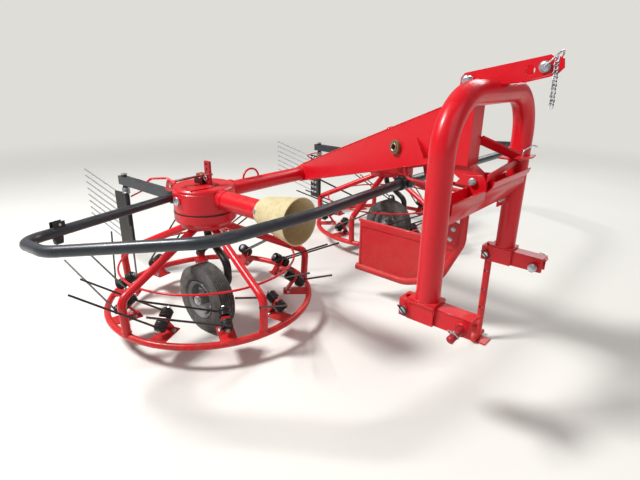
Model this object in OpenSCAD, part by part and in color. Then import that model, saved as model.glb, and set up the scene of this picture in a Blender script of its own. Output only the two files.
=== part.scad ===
// Twin rotor hay rake, parked on its two wheels and its stand.
// X points to the tractor, Y to the machine's left, Z up, millimetres.
// Sizes are given from the line through both rotor axes; the finished
// machine is moved back so that its box is centred on the origin.

/* [Layout] */
// Distance between the two rotor axes
rotor_spacing = 1375; // [1340:5:1420]
// Height of the bevel gear plane, shared by the cross tube and the input tube
gear_z = 556; // [550:1:562]
// Running clearance between a turning piece and its seat
run_gap = 0.3; // [0.2:0.05:0.6]
// Clearance where a weld or a bolt holds two curved pieces
seat_gap = 0.2; // [0.1:0.05:0.4]

/* [Gearcases] */
// Radius of the gearcase drum
case_r = 127; // [120:1:132]
// Height of the drum's top
case_top = 598; // [596:1:606]
// Height of the drum's bottom, where the turning skirt begins
case_bottom = 494; // [490:1:498]
// Diameter of the fixed post that passes down through the rotor hub
post_d = 56; // [48:1:62]
// Diameter of the oil plug on the drum's side
plug_d = 34; // [24:1:40]
// Direction of the oil plug on the right gearcase, seen from above
plug_a = 270; // [255:1:285]

/* [Cross tube] */
// Outer diameter of the tube that joins the gearcases
cross_d = 66; // [60:1:72]
// Wall of the cross tube
cross_wall = 5; // [3:0.5:8]
// Diameter of its end flanges
flange_d = 80; // [76:1:82]
// Thickness of its end flanges
flange_t = 10; // [6:1:14]

/* [Boom] */
// Sideways place of the boom's rear end, on the cross tube
boom_y = -62; // [-80:1:-50]
// Width of the boom box
boom_w = 76; // [70:1:84]
// Plate thickness of the boom box
boom_wall = 6; // [4:0.5:8]
// Height of the boom at the cross tube
boom_h0 = 83; // [78:1:90]
// Height of the boom where it meets the head post
boom_h1 = 176; // [165:1:182]
// Rise of the boom's top edge from the cross tube to the head post
boom_rise = 353; // [335:1:358]
// Outer diameter of the cross bush in the boom
bush_d = 48; // [40:1:54]
// Bore of the cross bush
bush_bore = 30; // [20:1:34]
// Distance of the cross bush from the rear end, along the boom
bush_s = 755; // [700:1:780]

/* [Headstock] */
// Distance from the rotor line to the headstock tube
head_x = 1048; // [1040:1:1060]
// Sideways place of the headstock's middle
head_y = -381; // [-390:1:-370]
// Distance between the two legs' centres
leg_span = 588; // [570:1:610]
// Outer diameter of the headstock tube
head_d = 70; // [66:1:76]
// Wall of the headstock tube
head_wall = 5; // [3:0.5:8]
// Height of the tube's centre at the top of the arch
arch_z = 992; // [980:1:1000]
// Bend radius of the arch
arch_r = 155; // [140:1:180]
// Height of the lower hitch line
hitch_z = 393; // [385:1:400]
// Height of the lower edge of the cross channel
channel_z = 640; // [630:1:650]
// Plate thickness of the cross channel
channel_t = 5; // [3:0.5:8]

/* [Hitch] */
// Gap between the two top link plates
clevis_gap = 52; // [48:1:56]
// Thickness of a top link plate
clevis_t = 8; // [6:0.5:10]
// Diameter of the upper hitch pin
top_pin_d = 19; // [18:0.5:22]
// Bore of the open upper hitch hole
top_hole_d = 25.7; // [22:0.1:28]
// Diameter of the lower hitch pins
low_pin_d = 22; // [20:0.5:28]
// Length of a lower hitch pin that takes the link ball
low_pin_l = 60; // [50:1:70]
// Length of a lower hitch arm
arm_l = 118; // [110:1:125]
// Height of a lower hitch arm
arm_h = 52; // [46:1:56]

/* [Stand] */
// Diameter of the parking stand's tube
stand_d = 27; // [24:1:30]
// How far the stand slides up when the machine is hitched
stand_travel = 220; // [180:5:240]

/* [Guards] */
// Diameter of the guard hoop tube
hoop_d = 34; // [30:1:38]
// Half of the machine's width, at the centre of the hoop tube
hoop_y = 1400; // [1390:1:1408]
// Distance from the rotor line to the hoops' clamp
clamp_x = 727; // [720:1:735]
// Height of the hoop tube in the clamp
clamp_z = 660; // [656:1:664]

/* [Divider] */
// Sideways place of the divider sheet
divider_y = -122; // [-126:1:-120]
// Thickness of the divider sheet
divider_t = 4; // [2:0.5:6]
// Diameter of the divider's frame tube
divider_d = 33; // [30:1:36]

/* [Swath gates] */
// Distance of the gate post behind the rotor axis
gate_back = 612; // [606:1:625]
// Distance of the gate post outside the rotor axis
gate_out = 40; // [30:1:50]
// Height of the gate arm's centre
gate_arm_z = 526; // [522:1:532]
// Diameter of the gate post
gate_post_d = 26; // [22:1:30]
// Diameter of the long spring rods
gate_rod_d = 7; // [5:0.5:9]
// Length of the spring rods behind the gate plate
gate_rod_l = 380; // [340:5:400]
// Diameter of the pin that a gate swings on
gate_pin_d = 16; // [12:1:18]
// Number of spring rods on a gate
gate_rods = 8; // [6:1:9]

/* [Rotors] */
// Number of arms on a rotor
rotor_arms = 5; // [4:1:6]
// Radius of the bottom ring, at the centre of its tube
ring_r = 435; // [425:1:445]
// Height of the bottom ring, at the centre of its tube
ring_z = 98; // [90:1:110]
// Diameter of the bottom ring's tube
ring_d = 27; // [24:1:30]
// Diameter of a rotor arm
arm_d = 32; // [28:1:34]
// Height of the knee of an arm
knee_z = 248; // [240:1:256]
// Direction of the first arm of both rotors
arm_phase = 278; // [270:1:286]
// Radius of the thin tie ring
tie_r = 370; // [355:1:385]
// Diameter of the thin tie ring's rod
tie_d = 9; // [7:0.5:12]
// Radius of the turning skirt under the drum
skirt_r = 129; // [122:1:134]
// Height of the turning skirt
skirt_h = 52; // [46:1:56]

/* [Tines] */
// Tine units on each arm's sector, half on each side of the arm
units_per_arm = 2; // [1:1:2]
// Radius of the middle of a tine unit
unit_r = 372; // [368:1:376]
// Height of the middle of a tine unit
unit_z = 166; // [162:1:172]
// Tilt of a tine unit's coil axis, inner end up
unit_tilt = 35; // [30:1:38]
// Outer radius of the coils
coil_r = 24; // [20:0.5:25]
// Length of one coil
coil_l = 40; // [34:1:42]
// Number of windings that show on one coil
coil_turns = 5; // [4:1:6]
// Diameter of the tine wire
tine_d = 8; // [6:0.5:9]
// Length of a tine wire
tine_l = 330; // [300:5:345]
// Rise of a tine wire for each millimetre that it lies back
tine_rise = 0.64; // [0.5:0.01:0.7]

/* [Wheels] */
// Outer radius of a tyre
tyre_r = 145; // [140:1:150]
// Width of a tyre
tyre_w = 88; // [80:1:94]
// Radius of the wheel rim
rim_r = 76; // [70:1:80]
// Wheel centre ahead of the rotor axis
wheel_x = 90; // [84:1:96]
// Wheel centre to the right of the rotor axis
wheel_y = -90; // [-94:1:-86]
// Diameter of the axle
axle_d = 20; // [16:0.5:24]
// Diameter of the bent wheel leg
leg_bar_d = 32; // [28:1:36]

/* [Input shaft] */
// Diameter of the input shaft
shaft_d = 34.9; // [34:0.1:36]
// Length of the input shaft that the drive shaft's yoke slides on
stub_l = 92; // [80:1:100]
// Outer diameter of the input tube
input_d = 78; // [74:1:80]
// Distance from the rotor axis to the input tube's end
input_end = 372; // [360:1:385]
// Diameter of the guard cone at its mouth
cone_d = 172; // [160:1:180]

/* [Hidden] */
$fn = 48;

red = "#c8102a";
dark_red = "#a50d22";
grey = "#4b5159";
black = "#1d1e20";
cream = "#cdbf95";
zinc = "#b9bcc0";
rubber = "#2a2a2b";

half = rotor_spacing / 2;
leg_y = leg_span / 2;
hub_bore_r = post_d / 2 + run_gap;
skirt_z = case_bottom - run_gap - skirt_h;
spider_z = skirt_z - 12;
journal_d = shaft_d + 5;
boom_x1 = head_x - head_d / 2 - 5 - boom_w;
boom_dir = atan2(head_y - boom_y, boom_x1);
boom_len = norm([boom_x1, head_y - boom_y]);
head_top = 962;
// Pins of the boom's head, from the head post's front face
top_pin_dx = -34;
top_pin_z = 1022;
foot_pin_dx = 22;
foot_pin_z = 727;
boom_top = gear_z + boom_h0 / 2;
bush_z = boom_top - boom_h0 / 2 + (boom_rise - (boom_h1 - boom_h0) / 2) * bush_s / boom_len;
gate_post = [-gate_back, -gate_out];
// Directions of the gate's plate and of its rods, seen from above, and the
// rods' rise for each millimetre of length
plate_a = 188;
rod_a = 181;
rod_rise = 0.2;
plate_l = 92;
plate_t = 8;
rod_pitch = 36;
stand_x = head_x - head_d / 2 - stand_d / 2 - 6;
plate_front = head_x + 144;
// Foremost and rearmost points, which centre the machine's box
x_front = plate_front + 24;
rod_dir = unit([cos(rod_a), sin(rod_a), rod_rise]);
rod_off = plate_t / 2 + seat_gap + gate_rod_d / 2;
rod_start = [(plate_l - 24) * cos(plate_a) + rod_off * sin(plate_a),
  (plate_l - 24) * sin(plate_a) - rod_off * cos(plate_a), 0];
x_rear = gate_post[0] + rod_start[0] + rod_dir[0] * gate_rod_l
  - gate_rod_d / 2 * norm([rod_dir[1], rod_dir[2]]);
datum_x = (x_front + x_rear) / 2;

function unit(v) = v / norm(v);
function polar(r, a, z) = [r * cos(a), r * sin(a), z];
// Length that a bend of radius r takes off each side of corner i
function trim(p, i, r) = i <= 0 || i >= len(p) - 1 ? 0 :
  let (u = unit(p[i] - p[i - 1]), v = unit(p[i + 1] - p[i]))
    r[i] * tan(acos(u * v) / 2);

// A placement with x along a, y along b and z along c
module frame_of(a, b, c, p) {
  multmatrix([[a[0], b[0], c[0], p[0]], [a[1], b[1], c[1], p[1]],
    [a[2], b[2], c[2], p[2]], [0, 0, 0, 1]]) children();
}

// A round bar from a to b
module rod(a, b, d) {
  v = b - a;
  translate(a) rotate([0, acos(v[2] / norm(v)), atan2(v[1], v[0])])
    cylinder(d = d, h = norm(v));
}

// A round bar through the points p, bent with radius r[i] at point i. The
// straight runs enter the bends a little, which are a hair thicker.
module bent_bar(p, r, d) {
  into = 2;
  for (i = [0 : len(p) - 2]) {
    u = unit(p[i + 1] - p[i]);
    rod(p[i] + u * (trim(p, i, r) - (i > 0 ? into : 0)),
      p[i + 1] - u * (trim(p, i + 1, r) - (i < len(p) - 2 ? into : 0)), d);
  }
  for (i = [1 : len(p) - 2]) {
    u = unit(p[i] - p[i - 1]);
    v = unit(p[i + 1] - p[i]);
    t = acos(u * v);
    n = unit(v - u * cos(t));
    frame_of(-n, u, cross(-n, u), p[i] - u * trim(p, i, r) + n * r[i])
      rotate_extrude(angle = t) translate([r[i], 0]) circle(d = d + 0.4);
  }
}

// A flat plate of thickness t in the plane y = 0, outline in x and z
module side_plate(t) {
  rotate([90, 0, 0]) linear_extrude(t, center = true) children();
}

module on_rotor(side) { translate([0, side * half, 0]) children(); }

// The gearcases

module gearcase(side) {
  color(red) on_rotor(side) difference() {
    union() {
      rotate_extrude($fn = 96) polygon([[0, case_bottom], [case_r - 3, case_bottom],
        [case_r, case_bottom + 3], [case_r, case_top - 18], [case_r - 2, case_top - 16],
        [case_r - 2, case_top - 6], [case_r - 7, case_top], [0, case_top]]);
      // fixed post through the rotor
      translate([0, 0, spider_z - 16]) cylinder(d = post_d, h = case_bottom - spider_z + 17);
      // raised pad that carries the height adjuster
      translate([0, 0, case_top - 1]) cylinder(r = 46, h = 7);
      // oil plug
      rotate([0, 0, -side * plug_a]) translate([case_r - 6, 0, gear_z - 4]) rotate([0, 90, 0])
        cylinder(d = plug_d, h = 12);
    }
    // seat of the cross tube's flange
    translate([0, -side * (case_r - 8), gear_z]) rotate([side * 90, 0, 0])
      cylinder(d = flange_d + 2 * seat_gap, h = 60);
    // seat of the input tube, on the right gearcase only
    if (side < 0) translate([case_r - 8, 0, gear_z]) rotate([0, 90, 0])
      cylinder(d = input_d + 2 * seat_gap, h = 60);
  }
}

// The frame

module cross_tube() {
  e = half - case_r + 8;
  color(red) translate([0, 0, gear_z]) difference() {
    union() {
      rotate([90, 0, 0]) cylinder(d = cross_d, h = 2 * e, center = true);
      for (s = [-1, 1]) translate([0, s * (e - flange_t / 2 - 8), 0]) rotate([90, 0, 0])
        cylinder(d = flange_d, h = flange_t + 16, center = true);
    }
    rotate([90, 0, 0]) cylinder(d = cross_d - 2 * cross_wall, h = 2 * e + 2, center = true);
  }
}

// Outline of the boom box, s along the boom and z up, shrunk by k
module boom_outline(k) {
  f = 1 + 40 / boom_len;
  rise0 = boom_rise - boom_h1 + boom_h0;
  polygon([[0, boom_top - boom_h0 + k], [boom_len * f, boom_top - boom_h0 + rise0 * f + k],
    [boom_len * f, boom_top + boom_rise * f - k], [0, boom_top - k]]);
}

module boom_box() {
  translate([0, boom_y, 0]) rotate([0, 0, boom_dir]) difference() {
    union() {
      side_plate(boom_w) boom_outline(0);
      translate([bush_s, 0, bush_z]) rotate([90, 0, 0])
        cylinder(d = bush_d, h = boom_w + 24, center = true);
    }
    // inside of the box, closed round the bush
    difference() {
      side_plate(boom_w - 2 * boom_wall) intersection() {
        boom_outline(boom_wall);
        translate([60, 0]) square([boom_len + 60, 2000]);
      }
      translate([bush_s, 0, bush_z]) rotate([90, 0, 0])
        cylinder(d = bush_d, h = boom_w, center = true);
    }
    translate([bush_s, 0, bush_z]) rotate([90, 0, 0])
      cylinder(d = bush_bore, h = boom_w + 40, center = true);
  }
}

module boom() {
  color(red) difference() {
    union() {
      boom_box();
      // square foot under the boom that carries the hoops' clamp
      translate([clamp_x - hanger_w / 2, clamp_y - hanger_w / 2, hanger_z])
        cube([hanger_w, hanger_w, boom_under(clamp_x) + boom_wall - hanger_z]);
    }
    // saddle on the cross tube
    translate([0, 0, gear_z]) rotate([90, 0, 0])
      cylinder(d = cross_d + 2 * seat_gap, h = 600, center = true);
    // the head post closes the front end
    translate([boom_x1, -1000, 0]) cube([400, 2000, 2000]);
  }
}

module boom_head() {
  z0 = 772;
  color(red) translate([boom_x1, head_y, 0]) difference() {
    union() {
      translate([0, -boom_w / 2, z0]) cube([boom_w, boom_w, head_top - z0]);
      // lug for the top pin
      side_plate(clevis_gap - 2) polygon([[14, head_top - 2], [boom_w - 4, head_top - 2],
        [boom_w - 8, 1030], [boom_w - 22, 1042], [boom_w - 46, 1042], [boom_w - 58, 1030]]);
      // lug for the lower pin
      side_plate(clevis_gap - 2) polygon([[24, z0 + 2], [boom_w - 2, z0 + 2],
        [boom_w + 36, 746], [boom_w + 40, 727], [boom_w + 32, 714], [boom_w - 4, 714], [30, 740]]);
    }
    translate([boom_wall, -boom_w / 2 + boom_wall, z0 + boom_wall])
      cube([boom_w - 2 * boom_wall, boom_w - 2 * boom_wall, head_top - z0 - 2 * boom_wall]);
    for (q = [[boom_w + top_pin_dx, top_pin_z], [boom_w + foot_pin_dx, foot_pin_z]])
      translate([q[0], 0, q[1]]) rotate([90, 0, 0])
        cylinder(d = top_pin_d + 2 * seat_gap, h = 200, center = true);
  }
}

// The headstock

module headstock_tube() {
  z0 = hitch_z + 34;
  p = [[head_x, head_y - leg_y, z0], [head_x, head_y - leg_y, arch_z],
    [head_x, head_y + leg_y, arch_z], [head_x, head_y + leg_y, z0]];
  color(red) difference() {
    bent_bar(p, [0, arch_r, arch_r, 0], head_d);
    for (s = [-1, 1]) translate([head_x, head_y + s * leg_y, z0 - 1])
      cylinder(d = head_d - 2 * head_wall, h = arch_z - arch_r - z0 + 1);
  }
}

// Open channel between the legs: rear wall, floor, chamfer and front wall.
// x runs from the legs' centre, z from the channel's lower edge.
module cross_channel() {
  w = leg_span - head_d + 30;
  t = channel_t;
  color(red) difference() {
    translate([head_x, head_y + w / 2, channel_z]) rotate([90, 0, 0]) linear_extrude(w) difference() {
      polygon([[-34, 70], [-34, 12], [-22, 0], [10, 0], [36, 46], [36, 108]]);
      polygon([[t - 34, 200], [t - 34, 14], [-20, t], [7, t], [36 - t, 48], [36 - t, 200]]);
    }
    for (s = [-1, 1]) translate([head_x, head_y + s * leg_y, 0])
      cylinder(d = head_d + 2 * seat_gap, h = 1000);
  }
}

module pivot_bracket() {
  x0 = head_x;
  color(red) for (s = [-1, 1])
    translate([0, head_y + s * (clevis_gap / 2 + clevis_t / 2), 0])
      difference() {
        side_plate(clevis_t) polygon([[x0 - 77, 712], [x0 - 52, 745], [x0 + 12, 750],
          [x0 + 24, 732], [x0 + 27, channel_z + 48], [x0 + 6, channel_z + channel_t + seat_gap],
          [x0 - 20, channel_z + channel_t + seat_gap], [x0 - 28, channel_z + 16], [x0 - 28, 712]]);
        translate([boom_x1 + boom_w + foot_pin_dx, 0, foot_pin_z]) rotate([90, 0, 0])
          cylinder(d = top_pin_d + 2 * seat_gap, h = 20, center = true);
      }
}

module top_link_plates() {
  px = boom_x1 + boom_w + top_pin_dx;
  color(red) for (s = [-1, 1])
    translate([0, head_y + s * (clevis_gap / 2 + clevis_t / 2), 0])
      difference() {
        side_plate(clevis_t) polygon([[px - 16, 1008], [px - 6, 1003], [head_x + 70, 1018],
          [plate_front - 10, 1034], [plate_front + 12, 1044], [plate_front + 24, 1058],
          [plate_front + 20, 1082], [plate_front + 4, 1090], [px - 8, 1043], [px - 16, 1035]]);
        translate([head_x, 0, arch_z]) rotate([90, 0, 0])
          cylinder(d = head_d + 2 * seat_gap, h = 200, center = true);
        for (q = [[px, top_pin_z, top_pin_d + 2 * seat_gap], [plate_front - 43, 1051, top_hole_d],
            [plate_front - 6, 1060, top_pin_d + 2 * seat_gap]])
          translate([q[0], 0, q[1]]) rotate([90, 0, 0]) cylinder(d = q[2], h = 20, center = true);
      }
}

module headstock_pins() {
  px = boom_x1 + boom_w + top_pin_dx;
  l = clevis_gap + 2 * clevis_t;
  // place in x and z, head radius
  color(zinc) for (q = [[px, top_pin_z, 15], [plate_front - 6, 1060, 15],
      [boom_x1 + boom_w + foot_pin_dx, foot_pin_z, 13]])
    translate([q[0], head_y, q[1]]) rotate([90, 0, 0]) {
      cylinder(d = top_pin_d, h = l + 18, center = true);
      for (s = [-1, 1]) translate([0, 0, s * (l / 2 + seat_gap + 3)])
        cylinder(r = q[2], h = 6, center = true);
    }
}

// The lower hitch

module hitch_brackets() {
  z0 = hitch_z - 28;
  x0 = stand_x - stand_d / 2 - 8;
  x1 = head_x + 36;
  color(red) for (s = [-1, 1]) translate([0, head_y + s * leg_y, 0]) difference() {
    union() {
      translate([x0, -28, z0]) cube([x1 - x0, 56, 56]);
      // plate under the leg
      translate([head_x - 42, -38, z0 + 56]) cube([80, 76, 6]);
    }
    // socket of the stand
    translate([stand_x, 0, z0 - 1]) cylinder(d = stand_d + 1.4, h = 80);
    // hollow under the leg, open below
    translate([head_x - 22, -22, z0 - 1]) cube([58 - 8, 44, 51]);
    // lock pin
    translate([stand_x, -60, hitch_z]) rotate([-90, 0, 0]) cylinder(d = 12.4, h = 120);
  }
}

module hitch_arms() {
  x0 = head_x + 36;
  color(red) for (s = [-1, 1]) translate([x0, head_y + s * leg_y, hitch_z - arm_h / 2]) difference() {
    linear_extrude(arm_h) polygon([[0, -24], [arm_l - 14, -24], [arm_l, -10], [arm_l, 10],
      [arm_l - 14, 24], [0, 24]]);
    translate([8, -18, -1]) cube([arm_l, 36, arm_h - 6]);
    translate([arm_l - 34, -60, arm_h / 2 - 6]) rotate([-90, 0, 0])
      cylinder(d = low_pin_d + 2 * seat_gap, h = 120);
  }
}

module lower_pins() {
  for (s = [-1, 1]) {
    // hitch pin: collar, plain length for the ball, linch pin head
    color(dark_red) translate([head_x + 36 + arm_l - 34, head_y + s * leg_y, hitch_z - 6])
      rotate([-s * 90, 0, 0]) {
        translate([0, 0, -30]) cylinder(d = low_pin_d, h = 60 + seat_gap + low_pin_l);
        translate([0, 0, 24 + seat_gap]) cylinder(d = low_pin_d + 12, h = 6);
        translate([0, 0, -30 - 8]) cylinder(d = low_pin_d + 10, h = 8);
      }
    // stand lock pin
    color(zinc) translate([stand_x, head_y + s * leg_y - 36, hitch_z]) rotate([-90, 0, 0])
      cylinder(d = 18, h = 8);
  }
}

module stand() {
  color(red) translate([stand_x, head_y + leg_y, 0]) difference() {
    union() {
      translate([0, 0, 4]) cylinder(d = stand_d, h = hitch_z + 36 - 4);
      translate([-45, -30, 0]) cube([90, 60, 6]);
      translate([0, -48, 17]) rotate([-90, 0, 0]) cylinder(d = 20, h = 96);
    }
    for (k = [1 : 3]) translate([0, -40, hitch_z - 80 * k]) rotate([-90, 0, 0])
      cylinder(d = 12.4, h = 80);
  }
}

// The divider

// Path of the divider's tube: along the ground, up, and forward to the channel
div_path = [[386, divider_y, 166], [650, divider_y, 166], [808, divider_y, 222],
  [892, divider_y, 408], [892, divider_y, 672], [head_x - 34, divider_y, 672]];
div_bend = [0, 160, 130, 120, 40, 0];
div_top = 400;

module divider_tube() {
  color(red) bent_bar(div_path, div_bend, divider_d);
}

module divider_sheet() {
  color(red) difference() {
    union() {
      translate([0, divider_y, 0]) side_plate(divider_t)
        polygon([[396, 166], [650, 166], [808, 222], [892, 408], [892, div_top], [396, div_top]]);
      // rolled rod along the top edge
      translate([396, divider_y, div_top]) rotate([0, 90, 0]) cylinder(d = 12, h = 480);
      // stiffening rod down the rear edge
      translate([404, divider_y, 166]) cylinder(d = 12, h = div_top - 166);
    }
    bent_bar([for (i = [0 : 4]) div_path[i]], [for (i = [0 : 3]) div_bend[i]], divider_d + 2 * seat_gap);
  }
}

// The guard hoops

// Path of the right hoop in x, distance outward and height, from the gearcase
// round to the clamp; the left one is its mirror image up to the last point
hoop_path = [[-90, half + 52, 550], [85, hoop_y, 557], [285, hoop_y, 582], [675, 1133, 635],
  [clamp_x - 1, 820, 648]];
hoop_bend = [0, 85, 120, 150, 400, 300, 0];
clamp_y = boom_y + clamp_x * tan(boom_dir);
hanger_w = 40;
hanger_z = clamp_z + hoop_d / 2 + 12;

// Height of the boom's underside at distance x from the rotor line
function boom_under(x) = boom_top - boom_h0
  + (boom_rise - boom_h1 + boom_h0) * x / cos(boom_dir) / boom_len;

module hoop(side) {
  p = [for (q = hoop_path) [q[0], side * q[1], q[2]]];
  color(grey) difference() {
    bent_bar(concat(p, [for (y = [50, 12]) [clamp_x, clamp_y + side * y, clamp_z]]), hoop_bend, hoop_d);
    on_rotor(side) cylinder(r = case_r + seat_gap, h = 1000);
  }
}

module hoop_clamp() {
  color(black) translate([clamp_x, clamp_y, clamp_z]) difference() {
    union() {
      rotate([90, 0, 0]) cylinder(d = hoop_d + 16, h = 74, center = true);
      translate([-19, -19, 0]) cube([38, 38, hanger_z - clamp_z - seat_gap]);
      // lower half's flanges with the bolt
      translate([-31, -20, -6]) cube([62, 40, 12]);
      for (s = [-1, 1]) translate([25 * s, 0, -13]) cylinder(d = 13, h = 26);
    }
    rotate([90, 0, 0]) cylinder(d = hoop_d + 2 * seat_gap, h = 90, center = true);
  }
}

// The swath gates

// Draws a piece of the right gate, from the rotor axis, and mirrors it for the left
module on_gate(side) { on_rotor(side) mirror([0, side < 0 ? 0 : 1, 0]) children(); }

module gate_arm(side) {
  w = 30;
  h = 42;
  reach = gate_back - 100;
  color(grey) on_gate(side) difference() {
    translate([-100, -gate_out + 6, gate_arm_z]) rotate([0, 0, 180 + atan2(6, reach)])
      translate([0, -w / 2, -h / 2]) cube([norm([reach, 6]) + 36, w, h]);
    translate([gate_post[0], gate_post[1], 400]) cylinder(d = gate_pin_d + 2 * run_gap, h = 300);
    cylinder(r = case_r + seat_gap, h = 1000);
  }
}

// The gate's post and plate, which swing about the pin at the post's top
module gate(side) {
  z0 = 150;
  r = gate_post_d / 2;
  z1 = gate_arm_z - 21 - run_gap;
  top = gate_arm_z + 21 + run_gap;
  color(black) on_gate(side) translate([gate_post[0], gate_post[1], 0]) {
    rotate_extrude() polygon([[0, z0], [r, z0], [r, z1], [gate_pin_d / 2, z1],
      [gate_pin_d / 2, top], [r, top], [r, top + 8], [0, top + 8]]);
    rotate([0, 0, plate_a]) translate([5, -plate_t / 2, z0 + 4]) cube([plate_l - 5, plate_t, 308]);
  }
}

// Row of spring rods on the plate's inner face
module gate_rods(side) {
  color(zinc) on_gate(side) translate([gate_post[0], gate_post[1], 0])
    for (k = [0 : gate_rods - 1]) translate([0, 0, 448 - k * rod_pitch])
      rod(rod_start, rod_start + rod_dir * gate_rod_l, gate_rod_d);
}

// The height adjusters

module height_adjusters() {
  z = case_top + 6;
  color(dark_red) for (side = [-1, 1]) on_rotor(side) difference() {
    union() {
      translate([20, -5, z]) cube([34, 10, 96]);
      translate([-30, -16, z]) cube([48, 32, 26]);
    }
    for (k = [0 : 2]) translate([37, -10, z + 40 + 22 * k]) rotate([-90, 0, 0])
      cylinder(d = 11, h = 20);
  }
}

// The wheels

module wheel_leg(side) {
  y1 = wheel_y + tyre_w / 2 + 26;
  z1 = spider_z - 16;
  color(black) on_rotor(side) {
    bent_bar([[0, 0, z1], [0, 0, z1 - 36], [wheel_x + 62, y1, 292], [wheel_x + 62, y1, 215],
      [wheel_x, y1, tyre_r]], [0, 30, 50, 46, 0], leg_bar_d);
    translate([wheel_x, y1 + leg_bar_d / 2, tyre_r]) rotate([90, 0, 0])
      cylinder(d = 44, h = y1 + leg_bar_d / 2 - (wheel_y + tyre_w / 2 - 12) - run_gap);
    translate([wheel_x, y1, tyre_r]) rotate([90, 0, 0])
      cylinder(d = axle_d, h = y1 - wheel_y + tyre_w / 2 - 6);
  }
}

module on_wheel(side) {
  on_rotor(side) translate([wheel_x, wheel_y, tyre_r]) rotate([90, 0, 0]) children();
}

module tyre(side) {
  w = tyre_w / 2;
  // ribs round the tread: axial place of each rib's middle
  ribs = [for (k = [-2.5 : 1 : 2.5]) k * 11];
  color(rubber) on_wheel(side) rotate_extrude($fn = 72) polygon(concat(
    [[rim_r + run_gap, -w + 17], [rim_r + 7, -w + 10.5], [rim_r + 14, -w + 4], [tyre_r - 34, -w],
      [tyre_r - 14, -w + 6]],
    [for (y = ribs) each [[tyre_r - 5, y - 5], [tyre_r, y - 3.4], [tyre_r, y + 3.4], [tyre_r - 5, y + 5]]],
    [[tyre_r - 14, w - 6], [tyre_r - 34, w], [rim_r + 14, w - 4], [rim_r + 7, w - 10.5],
      [rim_r + run_gap, w - 17]]));
}

module rim(side) {
  w = tyre_w / 2;
  b = axle_d / 2 + run_gap;
  color(zinc) on_wheel(side) rotate_extrude($fn = 72) polygon([[b, -w + 12], [26, -w + 12],
    [26, -8], [rim_r - 10, -8], [rim_r - 8, -w + 16], [rim_r + 4, -w + 6], [rim_r + 6, -w + 9],
    [rim_r, -w + 16], [rim_r, w - 16], [rim_r + 6, w - 9], [rim_r + 4, w - 6],
    [rim_r - 8, w - 16], [rim_r - 10, 2], [26, 2], [26, w - 8], [b, w - 8]]);
}

// The rotors

module rotor_hub(side) {
  color(red) on_rotor(side) rotate_extrude($fn = 96) polygon([[hub_bore_r, skirt_z],
    [skirt_r - 20, skirt_z], [skirt_r - 4, skirt_z + 14], [skirt_r, skirt_z + 20],
    [skirt_r, skirt_z + skirt_h], [hub_bore_r, skirt_z + skirt_h]]);
}

module rotor_basket(side) {
  color(red) on_rotor(side) {
    difference() {
      translate([0, 0, spider_z]) cylinder(r = skirt_r - 24, h = 12);
      translate([0, 0, spider_z - 1]) cylinder(r = hub_bore_r, h = 20);
    }
    for (k = [0 : rotor_arms - 1]) rotate([0, 0, arm_phase + k * 360 / rotor_arms])
      bent_bar([[66, 0, spider_z - 6], [ring_r + 8, 0, knee_z], [ring_r, 0, ring_z]],
        [0, 46, 0], arm_d);
    translate([0, 0, ring_z]) rotate_extrude($fn = 96) translate([ring_r, 0]) circle(d = ring_d);
    // tie ring under the arms
    translate([0, 0, knee_z + 27]) rotate_extrude($fn = 96) translate([tie_r, 0]) circle(d = tie_d);
    // plate and lug of each tine unit
    for (a = unit_angles) rotate([0, 0, a]) {
      translate([unit_r - 52, -32, ring_z + 4]) cube([ring_r - unit_r + 52, 64, 5]);
      translate([unit_r, 0, unit_z]) rotate([0, unit_tilt, 0])
        translate([-5, -16, -76]) cube([10, 32, 90]);
    }
  }
}

unit_angles = [for (k = [0 : rotor_arms - 1]) for (j = [0 : units_per_arm - 1])
  arm_phase + (k + (j + 0.5) / units_per_arm) * 360 / rotor_arms];

// One coil, its axis along z from 0 to coil_l
module coil() {
  p = coil_l / coil_turns;
  rotate_extrude($fn = 32) polygon(concat([[0, 0]],
    [for (k = [0 : coil_turns - 1]) each [[coil_r - 2.5, k * p], [coil_r, (k + 0.3) * p],
      [coil_r, (k + 0.7) * p]]], [[coil_r - 2.5, coil_l], [0, coil_l]]));
}

// Double coil with two long tine wires, laid back against the turning sense
module tine_units(side) {
  // the coil axis e, and the wire direction w square to it
  e = [-cos(unit_tilt), 0, sin(unit_tilt)];
  n = [sin(unit_tilt), 0, cos(unit_tilt)];
  w = unit([0, side, 0] + n * tine_rise);
  m = cross(e, w);
  color(black) on_rotor(side) for (a = unit_angles) rotate([0, 0, a])
    translate([unit_r, 0, unit_z]) for (s = [-1, 1]) {
      rotate([0, unit_tilt - 90, 0]) mirror([0, 0, s < 0 ? 1 : 0]) translate([0, 0, 5]) coil();
      rod(e * s * (coil_l - 1) + m * s * side * (coil_r - tine_d / 2 - 0.6),
        e * s * (coil_l - 1) + m * s * side * (coil_r - tine_d / 2 - 0.6) + w * tine_l, tine_d);
    }
}

// The input

module input_tube() {
  color(red) translate([case_r - 8, -half, gear_z]) rotate([0, 90, 0]) difference() {
    union() {
      cylinder(d = input_d, h = input_end - case_r + 8);
      translate([0, 0, input_end - case_r - 2]) cylinder(d = input_d + 4, h = 10);
    }
    translate([0, 0, 20]) cylinder(d = journal_d + 2 * run_gap, h = 400);
  }
}

// Shaft with a thicker journal inside the input tube
module input_shaft() {
  color(zinc) translate([0, -half, gear_z]) rotate([0, 90, 0]) {
    translate([0, 0, case_r + 14]) cylinder(d = journal_d, h = input_end - case_r - 18);
    translate([0, 0, input_end - 6]) cylinder(d = shaft_d, h = 2 + stub_l);
  }
}

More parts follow.
